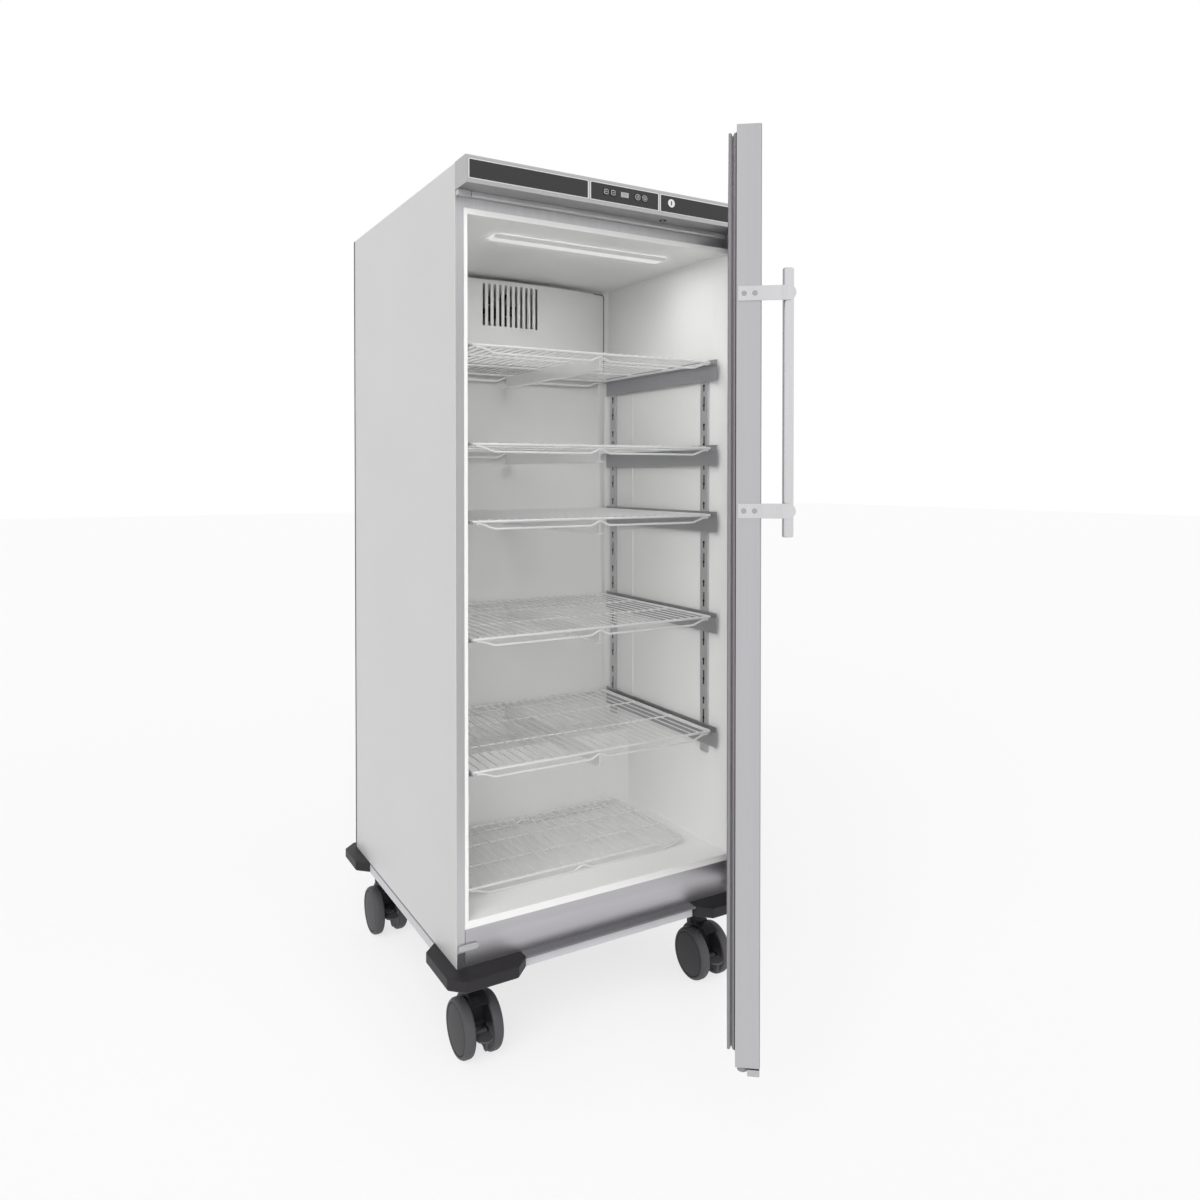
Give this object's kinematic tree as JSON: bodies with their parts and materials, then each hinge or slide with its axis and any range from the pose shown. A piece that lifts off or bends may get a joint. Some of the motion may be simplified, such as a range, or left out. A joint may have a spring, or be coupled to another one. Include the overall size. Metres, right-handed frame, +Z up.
{
  "type": "mobile upright refrigerator cabinet",
  "caption": "Tall insulated cold-storage cabinet on braked castors, with a hinged door, wire shelves and a control fascia",
  "frame": {"origin": "on the floor, under the middle of the cabinet body", "axes": "+X right and +Y back for a person in front of the door, +Z up"},
  "size_m": [0.812, 1.43, 1.913],
  "materials": {
    "casing_sheet": "light grey coated steel, satin",
    "brushed_steel": "brushed stainless steel",
    "plinth_steel": "darker brushed stainless steel",
    "fascia_metal": "anodised aluminium, satin",
    "pane": "dark glossy plastic",
    "display": "clear display window",
    "key_cap": "soft grey key",
    "lock_metal": "polished chrome",
    "liner_plastic": "white moulded liner",
    "foam": "rigid foam",
    "diffuser": "frosted plastic",
    "coil_metal": "plain fin stock",
    "machine_black": "black enamel",
    "fan_plastic": "black moulding",
    "carrier_steel": "plain stainless sheet",
    "shelf_wire": "bright wire",
    "chassis_paint": "light grey paint",
    "bumper_plastic": "charcoal moulding, fine grain",
    "castor_plastic": "grey moulding",
    "castor_steel": "zinc grey",
    "gasket_rubber": "grey soft seal",
    "bush_plastic": "grey bearing plastic"
  },
  "bodies": {
    "cabinet": {"outer_casing": "casing_sheet", "rear_panel": "casing_sheet", "base_pan": "chassis_paint", "insulation_foam": "foam", "inner_liner": "liner_plastic", "front_frame": "brushed_steel", "control_housing": "fascia_metal", "fascia_pane_left": "pane", "fascia_pane_centre": "pane", "fascia_pane_right": "pane", "display_window": "display", "hinge_rail": "brushed_steel", "hinge_bracket_top": "carrier_steel", "hinge_bracket_bottom": "carrier_steel", "hinge_blanks": "bush_plastic", "plinth_panel": "plinth_steel", "chassis_frame": "chassis_paint", "corner_bumpers": "bumper_plastic", "castor_plates": "castor_steel", "light_diffuser": "diffuser", "air_duct_cover": "liner_plastic", "evaporator_coil": "coil_metal", "fan_motor": "machine_black", "compressor": "machine_black", "condenser": "coil_metal", "shelf_uprights": "carrier_steel", "shelf_brackets": "carrier_steel"},
    "door": {"door_skin": "brushed_steel", "door_liner": "liner_plastic", "door_foam": "foam", "door_gasket": "gasket_rubber", "handle_bar": "brushed_steel", "handle_brackets": "carrier_steel", "handle_screws": "lock_metal", "door_pivot_bushes": "bush_plastic"},
    "lock_barrel": {"lock_cylinder": "lock_metal"},
    "bolt": {"lock_bolt": "carrier_steel"},
    "fan_rotor": {"evaporator_fan": "fan_plastic"},
    "floor_shelf_body": {"floor_shelf": "shelf_wire"},
    "key_up_cap": {"key_up": "key_cap"},
    "key_down_cap": {"key_down": "key_cap"},
    "key_light_cap": {"key_light": "key_cap"},
    "key_power_cap": {"key_power": "key_cap"},
    "shelf_1": {"wire_shelf_1": "shelf_wire"},
    "shelf_2": {"wire_shelf_2": "shelf_wire"},
    "shelf_3": {"wire_shelf_3": "shelf_wire"},
    "shelf_4": {"wire_shelf_4": "shelf_wire"},
    "shelf_5": {"wire_shelf_5": "shelf_wire"},
    "fork_front_left": {"castor_fork_front_left": "castor_plastic"},
    "wheels_front_left": {"castor_wheels_front_left": "castor_plastic"},
    "pedal_front_left": {"brake_pedal_front_left": "castor_plastic"},
    "fork_front_right": {"castor_fork_front_right": "castor_plastic"},
    "wheels_front_right": {"castor_wheels_front_right": "castor_plastic"},
    "pedal_front_right": {"brake_pedal_front_right": "castor_plastic"},
    "fork_rear_left": {"castor_fork_rear_left": "castor_plastic"},
    "wheels_rear_left": {"castor_wheels_rear_left": "castor_plastic"},
    "pedal_rear_left": {"brake_pedal_rear_left": "castor_plastic"},
    "fork_rear_right": {"castor_fork_rear_right": "castor_plastic"},
    "wheels_rear_right": {"castor_wheels_rear_right": "castor_plastic"},
    "pedal_rear_right": {"brake_pedal_rear_right": "castor_plastic"}
  },
  "joints": [
    {"name": "door_swing", "type": "hinge", "parent": "cabinet", "child": "door", "pos_m": [0.3537, -0.4005, 1], "axis": [0, 0, 1], "range_deg": [-51.64, 53.36]},
    {"name": "lock_turn", "type": "hinge", "parent": "cabinet", "child": "lock_barrel", "pos_m": [0.126, -0.438, 1.886], "axis": [0, -1, 0], "range_deg": [0, 90]},
    {"name": "bolt_slide", "type": "slide", "parent": "cabinet", "child": "bolt", "axis": [0, 0, -1], "range_m": [0, 0.0101]},
    {"name": "fan_spin", "type": "hinge", "parent": "cabinet", "child": "fan_rotor", "pos_m": [0.0025, 0.24, 1.738], "axis": [0, -1, 0], "continuous": true},
    {"name": "key_up_press", "type": "slide", "parent": "cabinet", "child": "key_up_cap", "axis": [0, 1, 0], "range_m": [0, 0.0012], "stiffness_N_per_m": 400},
    {"name": "key_down_press", "type": "slide", "parent": "cabinet", "child": "key_down_cap", "axis": [0, 1, 0], "range_m": [0, 0.0012], "stiffness_N_per_m": 400},
    {"name": "key_light_press", "type": "slide", "parent": "cabinet", "child": "key_light_cap", "axis": [0, 1, 0], "range_m": [0, 0.0012], "stiffness_N_per_m": 400},
    {"name": "key_power_press", "type": "slide", "parent": "cabinet", "child": "key_power_cap", "axis": [0, 1, 0], "range_m": [0, 0.0012], "stiffness_N_per_m": 400},
    {"name": "shelf_1_slide", "type": "slide", "parent": "cabinet", "child": "shelf_1", "axis": [0, -1, 0], "range_m": [0, 0.05]},
    {"name": "shelf_2_slide", "type": "slide", "parent": "cabinet", "child": "shelf_2", "axis": [0, -1, 0], "range_m": [0, 0.05]},
    {"name": "shelf_3_slide", "type": "slide", "parent": "cabinet", "child": "shelf_3", "axis": [0, -1, 0], "range_m": [0, 0.05]},
    {"name": "shelf_4_slide", "type": "slide", "parent": "cabinet", "child": "shelf_4", "axis": [0, -1, 0], "range_m": [0, 0.05]},
    {"name": "shelf_5_slide", "type": "slide", "parent": "cabinet", "child": "shelf_5", "axis": [0, -1, 0], "range_m": [0, 0.05]},
    {"name": "floor_shelf_slide", "type": "slide", "parent": "cabinet", "child": "floor_shelf_body", "axis": [0, -1, 0], "range_m": [0, 0.05]},
    {"name": "swivel_front_left", "type": "hinge", "parent": "cabinet", "child": "fork_front_left", "pos_m": [-0.31, -0.291, 0.19], "axis": [0, 0, 1], "continuous": true},
    {"name": "roll_front_left", "type": "hinge", "parent": "fork_front_left", "child": "wheels_front_left", "pos_m": [-0.31, -0.316, 0.0625], "axis": [1, 0, 0], "continuous": true},
    {"name": "brake_front_left", "type": "hinge", "parent": "fork_front_left", "child": "pedal_front_left", "pos_m": [-0.31, -0.346, 0.0585], "axis": [1, 0, 0], "range_deg": [0, 14]},
    {"name": "swivel_front_right", "type": "hinge", "parent": "cabinet", "child": "fork_front_right", "pos_m": [0.31, -0.291, 0.19], "axis": [0, 0, 1], "continuous": true},
    {"name": "roll_front_right", "type": "hinge", "parent": "fork_front_right", "child": "wheels_front_right", "pos_m": [0.31, -0.316, 0.0625], "axis": [1, 0, 0], "continuous": true},
    {"name": "brake_front_right", "type": "hinge", "parent": "fork_front_right", "child": "pedal_front_right", "pos_m": [0.31, -0.346, 0.0585], "axis": [1, 0, 0], "range_deg": [0, 14]},
    {"name": "swivel_rear_left", "type": "hinge", "parent": "cabinet", "child": "fork_rear_left", "pos_m": [-0.31, 0.341, 0.19], "axis": [0, 0, 1], "continuous": true},
    {"name": "roll_rear_left", "type": "hinge", "parent": "fork_rear_left", "child": "wheels_rear_left", "pos_m": [-0.31, 0.316, 0.0625], "axis": [1, 0, 0], "continuous": true},
    {"name": "brake_rear_left", "type": "hinge", "parent": "fork_rear_left", "child": "pedal_rear_left", "pos_m": [-0.31, 0.286, 0.0585], "axis": [1, 0, 0], "range_deg": [0, 14]},
    {"name": "swivel_rear_right", "type": "hinge", "parent": "cabinet", "child": "fork_rear_right", "pos_m": [0.31, 0.341, 0.19], "axis": [0, 0, 1], "continuous": true},
    {"name": "roll_rear_right", "type": "hinge", "parent": "fork_rear_right", "child": "wheels_rear_right", "pos_m": [0.31, 0.316, 0.0625], "axis": [1, 0, 0], "continuous": true},
    {"name": "brake_rear_right", "type": "hinge", "parent": "fork_rear_right", "child": "pedal_rear_right", "pos_m": [0.31, 0.286, 0.0585], "axis": [1, 0, 0], "range_deg": [0, 14]}
  ],
  "couplings": [
    {"joint": "bolt_slide", "follows": "lock_turn", "m_per_rad": 0.006366}
  ]
}
